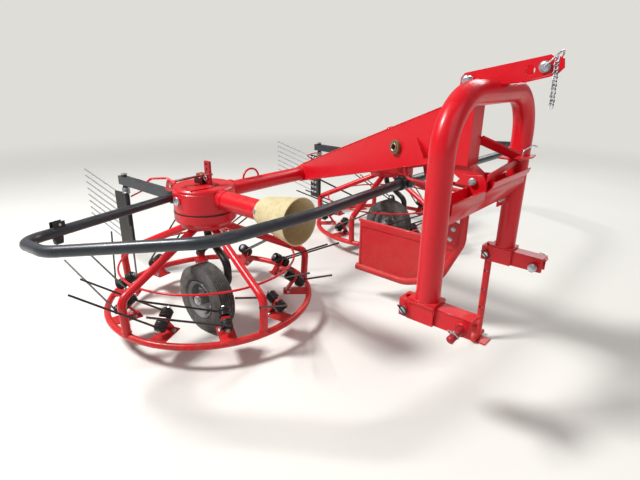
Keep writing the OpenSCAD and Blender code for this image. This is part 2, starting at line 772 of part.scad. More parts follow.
module shaft_guard() {
  l = 188;
  r0 = input_d / 2 + 2 + seat_gap;
  color(cream) translate([input_end - 9, -half, gear_z]) rotate([0, 90, 0])
    rotate_extrude($fn = 72) polygon([[r0, 0], [r0 + 6, 0], [r0 + 7, 12], [r0 + 18, 24],
      [cone_d / 2, l], [cone_d / 2 - 4, l], [r0 + 14, 27], [r0, 16]]);
}

// The machine

module at_datum() { translate([-datum_x, 0, 0]) children(); }

at_datum() gearcase(-1);  // gearcase_right
at_datum() gearcase(1);  // gearcase_left
at_datum() cross_tube();
at_datum() boom();
at_datum() boom_head();
at_datum() input_tube();
at_datum() shaft_guard();
at_datum() input_shaft();
at_datum() headstock_tube();
at_datum() cross_channel();
at_datum() pivot_bracket();
at_datum() top_link_plates();
at_datum() headstock_pins();
at_datum() hitch_brackets();
at_datum() hitch_arms();
at_datum() lower_pins();
at_datum() stand();
at_datum() divider_sheet();
at_datum() divider_tube();
at_datum() hoop(-1);  // hoop_right
at_datum() hoop(1);  // hoop_left
at_datum() hoop_clamp();
at_datum() gate_arm(-1);  // gate_arm_right
at_datum() gate_arm(1);  // gate_arm_left
at_datum() gate(-1);  // gate_right
at_datum() gate(1);  // gate_left
at_datum() gate_rods(-1);  // gate_rods_right
at_datum() gate_rods(1);  // gate_rods_left
at_datum() height_adjusters();
at_datum() wheel_leg(-1);  // wheel_leg_right
at_datum() wheel_leg(1);  // wheel_leg_left
at_datum() tyre(-1);  // tyre_right
at_datum() tyre(1);  // tyre_left
at_datum() rim(-1);  // rim_right
at_datum() rim(1);  // rim_left
at_datum() rotor_hub(-1);  // rotor_hub_right
at_datum() rotor_hub(1);  // rotor_hub_left
at_datum() rotor_basket(-1);  // rotor_basket_right
at_datum() rotor_basket(1);  // rotor_basket_left
at_datum() tine_units(-1);  // tine_units_right
at_datum() tine_units(1);  // tine_units_left
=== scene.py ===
import math
import bmesh
import bpy
from mathutils import Matrix, Vector


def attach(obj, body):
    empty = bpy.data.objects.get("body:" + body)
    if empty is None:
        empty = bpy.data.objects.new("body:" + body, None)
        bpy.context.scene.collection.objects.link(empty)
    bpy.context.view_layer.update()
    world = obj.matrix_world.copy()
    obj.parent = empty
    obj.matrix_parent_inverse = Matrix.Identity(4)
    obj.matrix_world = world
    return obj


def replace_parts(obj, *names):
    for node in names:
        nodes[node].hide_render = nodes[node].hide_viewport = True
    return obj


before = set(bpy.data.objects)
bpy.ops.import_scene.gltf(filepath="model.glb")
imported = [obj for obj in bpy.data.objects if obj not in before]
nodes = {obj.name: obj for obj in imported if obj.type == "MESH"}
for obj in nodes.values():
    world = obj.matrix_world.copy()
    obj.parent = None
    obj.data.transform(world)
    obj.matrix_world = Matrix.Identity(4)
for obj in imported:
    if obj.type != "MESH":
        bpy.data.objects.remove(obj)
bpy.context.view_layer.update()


# Where the photograph was taken from: at the machine's right front corner, a little over a metre
# from the near leg, with the lens just above the arch's height and tipped down.

rotor_line = 81.169


def at(x, y, z):
    """A place in millimetres, counted forward from the line through both rotor axes, made metres."""
    return Vector((x - rotor_line, y, z)) / 1000


heading = math.radians(41.285)
tip = math.radians(20.19)
roll = math.radians(0.5)
view = Vector((-math.sin(heading) * math.cos(tip), math.cos(heading) * math.cos(tip), -math.sin(tip)))
level = Vector((math.cos(heading), math.sin(heading), 0))
upright = level.cross(view)
across = level * math.cos(roll) + upright * math.sin(roll)
above = upright * math.cos(roll) - level * math.sin(roll)
film_width = 36
focal_pixels = 461.5
photo_pixels = 640
lens = bpy.data.cameras.new("photo_view")
lens.sensor_width = film_width
lens.lens = film_width * focal_pixels / photo_pixels
camera = bpy.data.objects.new("photo_view", lens)
bpy.context.scene.collection.objects.link(camera)
eye = at(1599, -1775, 1046)
camera_turn = Matrix((across, above, -view)).transposed().to_4x4()
camera.matrix_world = Matrix.Translation(eye) @ camera_turn
bpy.context.scene.camera = camera
bpy.context.scene.view_settings.view_transform = "Standard"


# A plain pale floor that runs out into an equally pale backdrop, and studio light: one strong lamp
# high up at the side that the sun stood on, weaker ones opposite, and a dim even surrounding.

def srgb(code):
    """A hex colour as the linear colour that the shaders take."""
    parts = [int(code[i:i + 2], 16) / 255 for i in (1, 3, 5)]
    return [c / 12.92 if c <= 0.04045 else ((c + 0.055) / 1.055) ** 2.4 for c in parts] + [1]


def add(tree, kind, inputs=None, **settings):
    """Adds a node with its settings; an input is given a value or the socket that feeds it."""
    made = tree.nodes.new(kind)
    for name, value in settings.items():
        setattr(made, name, value)
    for key, value in (inputs or {}).items():
        if isinstance(value, bpy.types.NodeSocket):
            tree.links.new(value, made.inputs[key])
        else:
            made.inputs[key].default_value = value
    return made


def finish(name):
    """A new material with a plain shader in it: its tree and that shader."""
    material = bpy.data.materials.new(name)
    material.use_nodes = True
    tree = material.node_tree
    tree.nodes.clear()
    shader = add(tree, "ShaderNodeBsdfPrincipled")
    add(tree, "ShaderNodeOutputMaterial", {"Surface": shader.outputs[0]})
    return material, tree, shader


# Painted studio floor, matt, with the faintest unevenness.
floor_paint, tree, shader = finish("painted_floor")
place = add(tree, "ShaderNodeTexCoord").outputs["Object"]
cloud = add(tree, "ShaderNodeTexNoise", {"Vector": place, "Scale": 1.3, "Detail": 3})
tone = add(tree, "ShaderNodeMix",
           {"Factor": cloud.outputs["Fac"], "A": srgb("#d8d6d0"), "B": srgb("#e2e0da")}, data_type="RGBA")
tree.links.new(tone.outputs["Result"], shader.inputs["Base Color"])
shader.inputs["Roughness"].default_value = 0.9
backdrop = "#dfddd8"
reach = add(tree, "ShaderNodeVectorMath", {0: place}, operation="LENGTH").outputs["Value"]
away = add(tree, "ShaderNodeMapRange", {"Value": reach, "From Min": 2.0, "From Max": 6.5},
           interpolation_type="SMOOTHSTEP").outputs[0]
glow = add(tree, "ShaderNodeEmission", {"Color": srgb(backdrop)})
sweep = add(tree, "ShaderNodeMixShader", {0: away, 1: shader.outputs[0], 2: glow.outputs[0]})
tree.links.new(sweep.outputs[0], tree.nodes["Material Output"].inputs["Surface"])
floor_mesh = bpy.data.meshes.new("floor")
floor_mesh.from_pydata([(-14, -14, 0), (14, -14, 0), (14, 14, 0), (-14, 14, 0)], [], [(0, 1, 2, 3)])
floor_mesh.materials.append(floor_paint)
floor = bpy.data.objects.new("floor", floor_mesh)
bpy.context.scene.collection.objects.link(floor)


def lamp(name, place, aim, size, power):
    """A square soft lamp that faces a point."""
    light = bpy.data.lights.new(name, "AREA")
    light.size = size
    light.energy = power
    holder = bpy.data.objects.new(name, light)
    bpy.context.scene.collection.objects.link(holder)
    holder.location = place
    holder.rotation_euler = (Vector(aim) - Vector(place)).to_track_quat("-Z", "Y").to_euler()


lamp("key", (-1.6, -3.0, 4.3), (0.2, 0, 0.4), 1.0, 360)
lamp("fill", (4.0, -1.2, 2.6), (0.3, 0, 0.4), 3.0, 36)
lamp("rim", (0.4, 4.0, 3.4), (0, 0, 0.5), 2.5, 110)
world = bpy.data.worlds.new("studio")
bpy.context.scene.world = world
world.use_nodes = True
world.node_tree.nodes.clear()
sky = add(world.node_tree, "ShaderNodeBackground", {"Color": srgb("#eef0f2"), "Strength": 0.27})
behind = add(world.node_tree, "ShaderNodeBackground", {"Color": srgb(backdrop)})
seen = add(world.node_tree, "ShaderNodeLightPath").outputs["Is Camera Ray"]
both_skies = add(world.node_tree, "ShaderNodeMixShader", {0: seen, 1: sky.outputs[0], 2: behind.outputs[0]})
add(world.node_tree, "ShaderNodeOutputWorld", {"Surface": both_skies.outputs[0]})


# The gearcases, frame and rotors are welded steel in one gloss red, sprayed and stoved enamel:
# a fine orange peel, a clear sheen, dust that lies on what faces up and splashed soil low down.

def patch(tree, place, scale, low, high, detail=3.0, rough=0.6):
    """Cloudy patches: 0 below the noise level low, 1 above high."""
    cloud = add(tree, "ShaderNodeTexNoise",
                {"Vector": place, "Scale": scale, "Detail": detail, "Roughness": rough})
    steps = {"Value": cloud.outputs["Fac"], "From Min": low, "From Max": high}
    return add(tree, "ShaderNodeMapRange", steps).outputs[0]


def both(tree, a, b):
    """One value times another."""
    return add(tree, "ShaderNodeMath", {0: a, 1: b}, operation="MULTIPLY").outputs[0]


def over(tree, amount, under, upper):
    """One colour laid over another where amount is 1."""
    layers = {"Factor": amount, "A": under, "B": upper}
    return add(tree, "ShaderNodeMix", layers, data_type="RGBA").outputs["Result"]


def blend_value(tree, amount, under, upper):
    """One number giving way to another where amount is 1."""
    layers = {"Factor": amount, "A": under, "B": upper}
    return add(tree, "ShaderNodeMix", layers, data_type="FLOAT").outputs["Result"]


def painted(name, main, faded, chip, gloss, soil_height, chip_scale=260):
    """Sprayed enamel on steel: sun-faded patches, chips to the primer, dust above, soil below."""
    material, tree, shader = finish(name)
    place = add(tree, "ShaderNodeTexCoord").outputs["Object"]
    shape = add(tree, "ShaderNodeNewGeometry")
    facing = add(tree, "ShaderNodeSeparateXYZ", {"Vector": shape.outputs["Normal"]}).outputs["Z"]
    height = add(tree, "ShaderNodeSeparateXYZ", {"Vector": place}).outputs["Z"]
    up = add(tree, "ShaderNodeMapRange", {"Value": facing, "From Min": 0.55, "From Max": 1}).outputs[0]
    low = add(tree, "ShaderNodeMapRange",
              {"Value": height, "From Min": soil_height, "From Max": 0.02}).outputs[0]
    # fading in patches of about 150 mm, more on what faces the sky
    fade = both(tree, patch(tree, place, 7, 0.35, 0.75), blend_value(tree, up, 0.35, 0.9))
    colour = over(tree, fade, srgb(main), srgb(faded))
    # chips of 2 to 4 mm, in groups
    chips = both(tree, patch(tree, place, chip_scale, 0.69, 0.71, 2), patch(tree, place, 13, 0.56, 0.62))
    colour = over(tree, chips, colour, srgb(chip))
    # dry dust above and splashed soil below
    dust = both(tree, patch(tree, place, 38, 0.38, 0.8, 6), blend_value(tree, up, 0.03, 0.22))
    colour = over(tree, dust, colour, srgb("#9a7f66"))
    soil = both(tree, patch(tree, place, 55, 0.46, 0.66, 8, 0.7), both(tree, low, 0.6))
    colour = over(tree, soil, colour, srgb("#7c5d43"))
    tree.links.new(colour, shader.inputs["Base Color"])
    dull = add(tree, "ShaderNodeMath", {0: dust, 1: soil}, operation="ADD", use_clamp=True).outputs[0]
    tree.links.new(blend_value(tree, dull, gloss, 0.75), shader.inputs["Roughness"])
    # orange peel of about 3 mm, and the grain of what lies on it
    peel = add(tree, "ShaderNodeTexNoise", {"Vector": place, "Scale": 330, "Detail": 1})
    grain = add(tree, "ShaderNodeTexNoise", {"Vector": place, "Scale": 900, "Detail": 3})
    relief = add(tree, "ShaderNodeMix", {"Factor": dull, "A": peel.outputs["Fac"], "B": grain.outputs["Fac"]},
                 data_type="FLOAT").outputs["Result"]
    lifted = add(tree, "ShaderNodeMath", {0: relief, 1: chips}, operation="SUBTRACT").outputs[0]
    # soft sprayed edges, about a millimetre round
    edge = add(tree, "ShaderNodeBevel", {"Radius": 0.0012}, samples=4)
    bump = add(tree, "ShaderNodeBump", {"Strength": 0.12, "Distance": 0.0006, "Height": lifted,
                                        "Normal": edge.outputs[0]})
    tree.links.new(bump.outputs[0], shader.inputs["Normal"])
    shader.inputs["Specular IOR Level"].default_value = 0.35
    shader.inputs["Coat Weight"].default_value = 0.08
    shader.inputs["Coat Roughness"].default_value = 0.08
    return material


def coat(material, *names):
    """Gives CAD nodes their finish."""
    for name in names:
        mesh = nodes[name].data
        for i in range(len(mesh.materials)):
            mesh.materials[i] = material
        if not mesh.materials:
            mesh.materials.append(material)


red = painted("red_enamel", "#c60a1c", "#cf1626", "#4a1a1a", 0.3, 0.3)
red_starts = ("gearcase", "cross", "boom", "headstock_tube", "pivot", "top_link", "hitch", "stand",
              "divider", "rotor", "input_tube")
coat(red, *[n for n in nodes if n.startswith(red_starts)])


# The divider is the same sheet and tube, but its enamel is scoured matt by the grass and dusty.
scoured = painted("scoured_red_enamel", "#bd1a24", "#c8524c", "#4a1a1a", 0.58, 0.42)
coat(scoured, "divider_sheet", "divider_tube")


# The hitch pins' heads and the adjusters' bars are the same steel and red enamel, drawn in a darker, duller
# copy of the red: painted shade, as they sit in shadow. The boom's stays and the hitch pins' tips take it
# too.
shaded_red = painted("shade_painted_red", "#a00d1d", "#ac1827", "#3a1a18", 0.48, 0.3)
coat(shaded_red, "lower_pins", "height_adjusters")


# The guard hoops are bent steel tube in dark grey enamel, and the gates and wheel legs are in
# black enamel. Both show scratches down to bare steel where branches and stones rubbed.
grey = painted("grey_enamel", "#262b31", "#3a4148", "#8b8f92", 0.34, 0.2)
coat(grey, "hoop_right", "hoop_left", "gate_arm_right", "gate_arm_left")
black = painted("black_enamel", "#121315", "#1e2023", "#6f7376", 0.4, 0.3)
coat(black, "hoop_clamp", "gate_right", "gate_left", "wheel_leg_right", "wheel_leg_left")


# Pins, spring rods and the input shaft are turned or drawn steel with a thin bright zinc skin,
# which clouds over in spots.
def bright_steel(name, fresh, clouded, rough):
    """Zinc-plated steel: a bright skin with cloudy spots of about 15 mm and fine drawing marks."""
    material, tree, shader = finish(name)
    place = add(tree, "ShaderNodeTexCoord").outputs["Object"]
    spots = patch(tree, place, 70, 0.42, 0.68, 5)
    tree.links.new(over(tree, spots, srgb(fresh), srgb(clouded)), shader.inputs["Base Color"])
    tree.links.new(blend_value(tree, spots, rough, rough + 0.25), shader.inputs["Roughness"])
    marks = add(tree, "ShaderNodeTexNoise", {"Vector": place, "Scale": 1200, "Detail": 2})
    bump = add(tree, "ShaderNodeBump", {"Strength": 0.1, "Distance": 0.0003, "Height": marks.outputs["Fac"]})
    tree.links.new(bump.outputs[0], shader.inputs["Normal"])
    shader.inputs["Metallic"].default_value = 0.85
    return material


zinc = bright_steel("zinc_plate", "#c4c7cb", "#8e9195", 0.3)
coat(zinc, "headstock_pins", "input_shaft", "gate_rods_right", "gate_rods_left")


# The guard cone is moulded in soft cream plastic: matt, a little uneven, dust in its pores.
cream, tree, shader = finish("moulded_plastic")
place = add(tree, "ShaderNodeTexCoord").outputs["Object"]
worn = patch(tree, place, 16, 0.3, 0.75, 5)
grubby = patch(tree, place, 60, 0.5, 0.72, 7, 0.7)
colour = over(tree, worn, srgb("#cbbd93"), srgb("#b8a67c"))
tree.links.new(over(tree, both(tree, grubby, 0.45), colour, srgb("#8c7a5a")), shader.inputs["Base Color"])
shader.inputs["Roughness"].default_value = 0.58
shader.inputs["Subsurface Weight"].default_value = 0.04
pores = add(tree, "ShaderNodeTexNoise", {"Vector": place, "Scale": 700, "Detail": 2})
bump = add(tree, "ShaderNodeBump", {"Strength": 0.15, "Distance": 0.0004, "Height": pores.outputs["Fac"]})
tree.links.new(bump.outputs[0], shader.inputs["Normal"])
coat(cream, "shaft_guard")


# The tine units are coiled from oil-tempered spring wire, dipped black; the wires' lower runs
# are rubbed to brown steel by the ground.
tine_black = painted("dipped_spring_steel", "#151517", "#26272a", "#6a5444", 0.36, 0.12)
coat(tine_black, "tine_units_right", "tine_units_left")


# The tyres are moulded rubber, dark and chalky, with dry soil in the grooves; the rims are
# pressed steel in a pale coat, dull with dust.
rubber, tree, shader = finish("tyre_rubber")
place = add(tree, "ShaderNodeTexCoord").outputs["Object"]
chalk = patch(tree, place, 24, 0.35, 0.75, 6)
soil = patch(tree, place, 70, 0.5, 0.66, 8, 0.7)
colour = over(tree, both(tree, chalk, 0.7), srgb("#343435"), srgb("#6c6b68"))
tree.links.new(over(tree, both(tree, soil, 0.5), colour, srgb("#7b6650")), shader.inputs["Base Color"])
shader.inputs["Roughness"].default_value = 0.82
skin = add(tree, "ShaderNodeTexNoise", {"Vector": place, "Scale": 800, "Detail": 3})
bump = add(tree, "ShaderNodeBump", {"Strength": 0.2, "Distance": 0.0005, "Height": skin.outputs["Fac"]})
tree.links.new(bump.outputs[0], shader.inputs["Normal"])
coat(rubber, "tyre_right", "tyre_left")
rim_paint = painted("rim_enamel", "#77797a", "#97999a", "#6a4a38", 0.42, 0.3)
coat(rim_paint, "rim_right", "rim_left")


# The boom's bearing liner is cast bronze, turned and then browned by old grease. The block on each
# gearcase's spring housing has the same brown.
brown = painted("bearing_bronze", "#6b4a2c", "#84603c", "#2c211a", 0.45, 0.1)


# Small parts are built as closed solids in the same millimetres as the frame, several to a piece:
# bent bars, turned parts and flat plates with softened edges.

def skin(made, rings, slot=0, loop=False):
    """Faces between rings of as many points, with the two ends closed or joined."""
    rows = [[made.verts.new(p) for p in ring] for ring in rings]
    count = len(rows[0])
    pairs = list(zip(rows, rows[1:]))
    if loop:
        pairs.append((rows[-1], rows[0]))
    faces = [made.faces.new((a[i], a[(i + 1) % count], b[(i + 1) % count], b[i]))
             for a, b in pairs for i in range(count)]
    if not loop:
        faces += [made.faces.new(rows[0]), made.faces.new(rows[-1])]
    for face in faces:
        face.material_index = slot
    return faces


def tube(made, path, radius, slot=0, sides=12, loop=False):
    """A round bar or wire through points, of one radius."""
    points = [at(*p) for p in path]
    last = len(points) - 1
    side = None
    rings = []
    for i, point in enumerate(points):
        ahead = points[(i + 1) % len(points)] if loop or i < last else point
        behind = points[i - 1] if loop or i > 0 else point
        run = (ahead - behind).normalized()
        side = (side - run * side.dot(run)).normalized() if side else run.orthogonal().normalized()
        other = run.cross(side)
        rings.append([point + (side * math.cos(t) + other * math.sin(t)) * radius / 1000
                      for t in (2 * math.pi * k / sides for k in range(sides))])
    skin(made, rings, slot, loop)


def turned(made, base, axis, profile, slot=0, sides=24, hollow=False):
    """A turned part from base along axis: rows of distance and radius, closed into a ring if hollow."""
    along = Vector(axis).normalized()
    side = along.orthogonal().normalized()
    other = along.cross(side)
    rings = [[at(*base) + (along * s + (side * math.cos(t) + other * math.sin(t)) * r) / 1000
              for t in (2 * math.pi * k / sides for k in range(sides))] for s, r in profile]
    skin(made, rings, slot, hollow)


def plate(made, corners, thick, slot=0, edge=1.0):
    """A flat plate through its corners, half of its thickness on each side, edges softened."""
    points = [at(*c) for c in corners]
    across = (points[1] - points[0]).cross(points[2] - points[1]).normalized() * thick / 2000
    faces = skin(made, [[p - across for p in points], [p + across for p in points]], slot)
    edges = list(dict.fromkeys(e for face in faces for e in face.edges))
    bmesh.ops.bevel(made, geom=edges, offset=edge / 1000, segments=1, affect="EDGES")


def rounded(points, cut, steps=5):
    """The same route with its corners rounded, from cut millimetres before each to as much after."""
    points = [Vector(p) for p in points]
    route = [points[0]]
    for a, b, c in zip(points, points[1:], points[2:]):
        start = b + (a - b).normalized() * min(cut, (a - b).length * 0.48)
        end = b + (c - b).normalized() * min(cut, (c - b).length * 0.48)
        route += [start.lerp(b, k / steps).lerp(b.lerp(end, k / steps), k / steps) for k in range(steps + 1)]
    return route + [points[-1]]


def circle(centre, axis, radius, count):
    """Points round a circle about an axis."""
    along = Vector(axis).normalized()
    side = along.orthogonal().normalized()
    other = along.cross(side)
    turns = [2 * math.pi * k / count for k in range(count)]
    return [Vector(centre) + (side * math.cos(t) + other * math.sin(t)) * radius for t in turns]


def settle(name, mesh, materials, body):
    """Links a piece's mesh, with smooth faces up to sharp edges, and lets it ride its body."""
    for material in materials:
        mesh.materials.append(material)
    mesh.polygons.foreach_set("use_smooth", [True] * len(mesh.polygons))
    mesh.set_sharp_from_angle(angle=math.radians(38))
    holder = bpy.data.objects.new(name, mesh)
    bpy.context.scene.collection.objects.link(holder)
    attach(holder, body)
    return holder


def piece(name, made, materials, body="frame"):
    """Turns what was gathered into one piece, sorted, because a bevel's own order varies by run."""
    bmesh.ops.recalc_face_normals(made, faces=made.faces)
    for parts, spot in ((made.verts, lambda v: tuple(v.co)),
                        (made.faces, lambda f: tuple(f.calc_center_median()))):
        for i, part in enumerate(sorted(parts, key=spot)):
            part.index = i
        parts.sort()
    mesh = bpy.data.meshes.new(name)
    made.to_mesh(mesh)
    made.free()
    return settle(name, mesh, materials, body)


def repeats(name, places, unit, material, body="frame", spin=0.0, vary=0.0):
    """Geometry Nodes: a copy of the unit mesh on every place, its z axis along the place's direction."""
    tree = bpy.data.node_groups.new(name, "GeometryNodeTree")
    face = tree.interface
    face.new_socket("Places", in_out="INPUT", socket_type="NodeSocketGeometry")
    ids = {label: face.new_socket(label, in_out="INPUT", socket_type="NodeSocket" + kind).identifier
           for label, kind in (("Unit", "Object"), ("Finish", "Material"), ("Spin", "Float"),
                               ("Size variation", "Float"), ("Seed", "Int"))}
    face.new_socket("Copies", in_out="OUTPUT", socket_type="NodeSocketGeometry")
    given = add(tree, "NodeGroupInput")
    facing = add(tree, "GeometryNodeInputNamedAttribute", {"Name": "facing"}, data_type="FLOAT_VECTOR")
    turn = add(tree, "FunctionNodeAlignRotationToVector", {"Vector": facing.outputs[0]}, axis="Z")
    seed = given.outputs["Seed"]
    chance = add(tree, "FunctionNodeRandomValue", {"Max": given.outputs["Spin"], "Seed": seed},
                 data_type="FLOAT")
    swing = add(tree, "FunctionNodeAxisAngleToRotation",
                {"Axis": (0, 0, 1), "Angle": chance.outputs["Value"]})
    turn = add(tree, "FunctionNodeRotateRotation",
               {"Rotation": turn.outputs[0], "Rotate By": swing.outputs[0]}, rotation_space="LOCAL")
    least = add(tree, "ShaderNodeMath", {0: 1.0, 1: given.outputs["Size variation"]}, operation="SUBTRACT")
    size = add(tree, "FunctionNodeRandomValue", {"Min": least.outputs[0], "Max": 1.0, "Seed": seed},
               data_type="FLOAT")
    shape = add(tree, "GeometryNodeObjectInfo", {"Object": given.outputs["Unit"], "As Instance": True})
    copies = add(tree, "GeometryNodeInstanceOnPoints",
                 {"Points": given.outputs["Places"], "Instance": shape.outputs["Geometry"],
                  "Rotation": turn.outputs[0], "Scale": size.outputs["Value"]})
    real = add(tree, "GeometryNodeRealizeInstances", {"Geometry": copies.outputs[0]})
    dressed = add(tree, "GeometryNodeSetMaterial",
                  {"Geometry": real.outputs[0], "Material": given.outputs["Finish"]})
    add(tree, "NodeGroupOutput", {"Copies": dressed.outputs[0]})
    spots = bpy.data.meshes.new(name)
    spots.from_pydata([at(*p) for p, _ in places], [], [])
    spots.attributes.new("facing", "FLOAT_VECTOR", "POINT").data.foreach_set(
        "vector", [c for _, direction in places for c in direction])
    source = bpy.data.objects.new(name + "_unit", unit)
    holder = bpy.data.objects.new(name + "_places", spots)
    bpy.context.scene.collection.objects.link(holder)
    grower = holder.modifiers.new("copies", "NODES")
    grower.node_group = tree
    for label, value in (("Unit", source), ("Finish", material), ("Spin", spin),
                         ("Size variation", vary), ("Seed", 7)):
        grower[ids[label]] = value
    grown = bpy.data.meshes.new_from_object(holder.evaluated_get(bpy.context.evaluated_depsgraph_get()))
    for spare in (holder, source):
        bpy.data.objects.remove(spare)
    grown.name = name
    if material.name not in grown.materials:
        grown.materials.clear()
        grown.materials.append(material)
    return settle(name, grown, [], body)


def unit_mesh(name, draw):
    """A unit to repeat, drawn about the origin."""
    made = bmesh.new()
    draw(made)
    bmesh.ops.translate(made, verts=made.verts, vec=-at(0, 0, 0))
    bmesh.ops.recalc_face_normals(made, faces=made.faces)
    mesh = bpy.data.meshes.new(name)
    made.to_mesh(mesh)
    made.free()
    return mesh


# The tine units are one spring wire each: two long straight tines, two close coils and a bridge
# that hooks behind the lug. A sleeve and a bolt through both coils hold them.
half = 687.5  # from the machine's middle to a rotor's axis
unit_r, unit_z, unit_tilt = 372, 166, math.radians(35)
coil_r, wire_d, tine_l, tine_rise = 24, 8, 330, 0.64
coil_turns, coil_steps = 4.25, 14
arm_phase = 278
ripple_step = 4.4  # from one weld ripple to the next
hexagon_bolt = unit_mesh("hexagon_bolt", lambda made: (
    turned(made, (0, 0, 0), (0, 0, 1), ((-1, 10), (1.4, 10), (1.8, 9.4)), sides=16),
    turned(made, (0, 0, 1), (0, 0, 1), ((0, 7.4), (5.6, 7.4), (6.6, 6.2)), sides=6)))
weld_ripple = unit_mesh("weld_ripple", lambda made: turned(
    made, (0, 0, -1.5), (0, 0, 1), ((0, 3.4), (1.6, 3.1), (2.9, 1.8), (3.3, 0.4)), sides=8))


def bead_round(centre, axis, radius):
    """Places of a weld's ripples round a tube, each facing outward and along the axis."""
    along = Vector(axis).normalized()
    return [(p, (p - Vector(centre)).normalized() + along)
            for p in circle(centre, axis, radius, round(2 * math.pi * radius / ripple_step))]


def bead_along(start, end, facing):
    """Places of a weld's ripples along a seam."""
    start, end = Vector(start), Vector(end)
    count = max(2, round((end - start).length / ripple_step))
    return [(start.lerp(end, k / (count - 1)), Vector(facing)) for k in range(count)]


for side, hand in ((-1, "right"), (1, "left")):
    springs = bmesh.new()
    sleeves = bmesh.new()
    heads = []
    seams = []
    for k in range(10):
        a = math.radians(arm_phase + 18 + 36 * k)
        out = Vector((math.cos(a), math.sin(a), 0))
        back = Vector((-math.sin(a), math.cos(a), 0)) * side
        middle = Vector((0, side * half, unit_z)) + out * unit_r
        e = Vector((0, 0, math.sin(unit_tilt))) - out * math.cos(unit_tilt)
        n = out * math.sin(unit_tilt) + Vector((0, 0, math.cos(unit_tilt)))
        w = (back + n * tine_rise).normalized()
        m = e.cross(w) * side
        bend_r = coil_r - wire_d / 2
        route = []
        for s in (1, -1):
            turns = [2 * math.pi * i / coil_steps for i in range(round(coil_turns * coil_steps) + 1)]
            coil = [middle + e * s * (41 - 32 * t / turns[-1])
                    + (m * s * math.cos(t) - w * math.sin(t)) * bend_r for t in turns]
            run = [coil[0] + w * tine_l * q for q in (1, 0.5, 0.08)] + coil
            route += run if s > 0 else run[::-1]
        tube(springs, route, wire_d / 2, sides=8)
        turned(sleeves, middle - e * 47, e, ((0, 12), (1, 17), (3, 17.5), (4, 12.5), (90, 12.5), (91, 17.5),
                                             (93, 17), (94, 12)), sides=16)
        heads += [(middle + e * s * 47, e * s) for s in (1, -1)]
        heads += [(Vector((0, side * half, 107)) + out * 345 + back * q, Vector((0, 0, 1)))
                  for q in (-20, 20)]
        seams += bead_along(Vector((0, side * half, 108)) + out * 322 - back * 16,
                            Vector((0, side * half, 108)) + out * 322 + back * 16, Vector((0, 0, 1)) - out)
    for k in range(5):
        a = math.radians(arm_phase + 72 * k)
        out = Vector((math.cos(a), math.sin(a), 0))
        seams += bead_round(Vector((0, side * half, 113)) + out * 435.5, (0, 0, -1), 16.2)
        seams += bead_round(Vector((0, side * half, 275)) + out * 370, out, 5.5)
    spring = piece(f"tine_springs_{hand}", springs, [tine_black], f"rotor_{hand}")
    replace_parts(spring, f"tine_units_{hand}")
    piece(f"coil_sleeves_{hand}", sleeves, [black], f"rotor_{hand}")
    repeats(f"tine_bolts_{hand}", heads, hexagon_bolt, zinc, f"rotor_{hand}", spin=1.0)
    repeats(f"rotor_welds_{hand}", seams, weld_ripple, red, f"rotor_{hand}", spin=6.0, vary=0.3)


# The wheels are implement tyres with seven round ribs and a bead line on each wall, on pressed
# rims with four bolts; a pressed cap closes each axle's end.
wheel_x, wheel_y, tyre_r, rim_r = 90, -90, 145, 76
wall_rows = [(-27, rim_r + 0.3), (-33.5, 83), (-38, 88), (-41, 92), (-42.2, 94), (-41.8, 96), (-43, 106),
             (-44, 111), (-43.6, 113), (-43.9, 115), (-42.6, 120), (-40.4, 127), (-38.2, 132), (-37.4, 137)]
rib_rows = [(c + a, r) for c in (10.6 * k for k in range(-3, 4))
            for a, r in ((-4.5, 139), (-3.7, 143.2), (-2.2, 145), (2.2, 145), (3.7, 143.2), (4.5, 139))]
tyre_rows = wall_rows + rib_rows + [(-a, r) for a, r in wall_rows[::-1]]
for side, hand in ((-1, "right"), (1, "left")):
    hub = Vector((wheel_x, side * half + wheel_y, tyre_r))
    made = bmesh.new()
    turned(made, hub, (0, -1, 0), tyre_rows, sides=72, hollow=True)
    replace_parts(piece(f"ribbed_tyre_{hand}", made, [rubber], f"wheel_{hand}"), f"tyre_{hand}")
    heads = [(p, (0, -1, 0)) for p in circle(hub + Vector((0, -2, 0)), (0, -1, 0), 47, 4)]
    repeats(f"rim_bolts_{hand}", heads, hexagon_bolt, zinc, f"wheel_{hand}", spin=1.0)
    made = bmesh.new()
    turned(made, hub + Vector((0, -38.6, 0)), (0, -1, 0),
           ((0, 20), (2, 22), (7, 21.4), (12, 18), (15, 11), (16, 2)))
    turned(made, hub + Vector((0, 85, 0)), (0, 1, 0), ((0, 14), (9, 14), (11, 12)), sides=6)
    piece(f"axle_cap_{hand}", made, [zinc])


